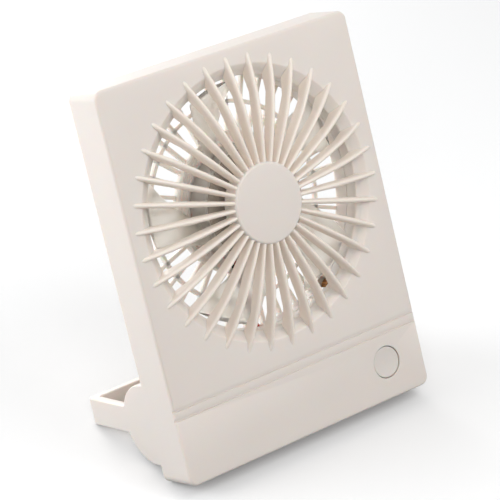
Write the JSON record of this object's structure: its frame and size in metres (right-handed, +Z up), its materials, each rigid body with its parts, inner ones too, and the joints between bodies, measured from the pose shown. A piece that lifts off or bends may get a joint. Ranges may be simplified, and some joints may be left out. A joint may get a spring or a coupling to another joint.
{
  "type": "desk fan",
  "caption": "Slim square rechargeable desk fan with a domed radial-rib guard, a bladed rotor, a push button and a fold-out loop stand that it leans back on.",
  "frame": {"origin": "centre of the bounding box's footprint, on the surface that the rubber feet stand on", "axes": "+X to the right seen from the front, +Y to the back, +Z up; the front faces -Y and leans back by 21.5 degrees"},
  "size_m": [0.108, 0.0654, 0.1347],
  "materials": {
    "shell_abs": "fine-grained warm white ABS, softly matt",
    "guard_abs": "warm white ABS, a little smoother than the case",
    "grille_abs": "warm white ABS, matt",
    "blade_pp": "slightly translucent white polypropylene",
    "button_abs": "polished warm white ABS",
    "motor_steel": "turned steel under a dark plating",
    "plain_steel": "zinc-plated steel",
    "magnet": "dark bonded magnet",
    "bronze": "oiled sintered bronze",
    "copper": "enamelled copper wire",
    "board": "green solder mask over glass-fibre laminate",
    "black_plastic": "moulded black plastic",
    "red_insulation": "extruded red insulation",
    "black_insulation": "extruded black insulation",
    "cell_can": "shrink-sleeved metal can",
    "light_pipe": "clear light pipe",
    "silicone": "soft matt silicone"
  },
  "bodies": {
    "case": {"front_shell": "shell_abs", "front_guard": "guard_abs", "rear_shell": "shell_abs", "rear_grille": "grille_abs", "shaft_bushes": "bronze", "stator_core": "plain_steel", "stator_coils": "copper", "motor_board": "board", "motor_lead_red": "red_insulation", "motor_lead_black": "black_insulation", "tact_switch": "plain_steel", "circuit_board": "board", "control_chip": "black_plastic", "boost_choke": "copper", "usb_c_socket": "plain_steel", "charge_led": "light_pipe", "battery_cell": "cell_can", "battery_lead_red": "red_insulation", "battery_lead_black": "black_insulation", "hinge_pin_left": "plain_steel", "hinge_pin_right": "plain_steel", "friction_washer_left": "plain_steel", "friction_washer_right": "plain_steel", "case_feet": "silicone", "housing_screws": "plain_steel", "grille_screws": "plain_steel", "board_screws": "plain_steel"},
    "rotor": {"fan_impeller": "blade_pp", "rotor_cup": "motor_steel", "rotor_magnet": "magnet", "motor_shaft": "plain_steel"},
    "button": {"power_button": "button_abs"},
    "plunger": {"switch_plunger": "black_plastic"},
    "stand": {"stand_loop": "shell_abs", "stand_foot": "silicone"}
  },
  "joints": [
    {"name": "fan_spin", "type": "hinge", "parent": "case", "child": "rotor", "pos_m": [0, -0.00201, 0.08467], "axis": [0, 0.9301, -0.3672], "continuous": true},
    {"name": "button_press", "type": "slide", "parent": "case", "child": "button", "axis": [0, 0.9301, -0.3672], "range_m": [0, 0.0005], "stiffness_N_per_m": 500, "springref_m": -0.0005},
    {"name": "plunger_press", "type": "slide", "parent": "case", "child": "plunger", "axis": [0, 0.9301, -0.3672], "range_m": [0, 0.0005]},
    {"name": "stand_fold", "type": "hinge", "parent": "case", "child": "stand", "pos_m": [0, -0.00571, 0.01647], "axis": [1, 0, 0], "range_deg": [0, 86]}
  ],
  "couplings": [
    {"joint": "plunger_press", "follows": "button_press", "ratio": 1}
  ]
}
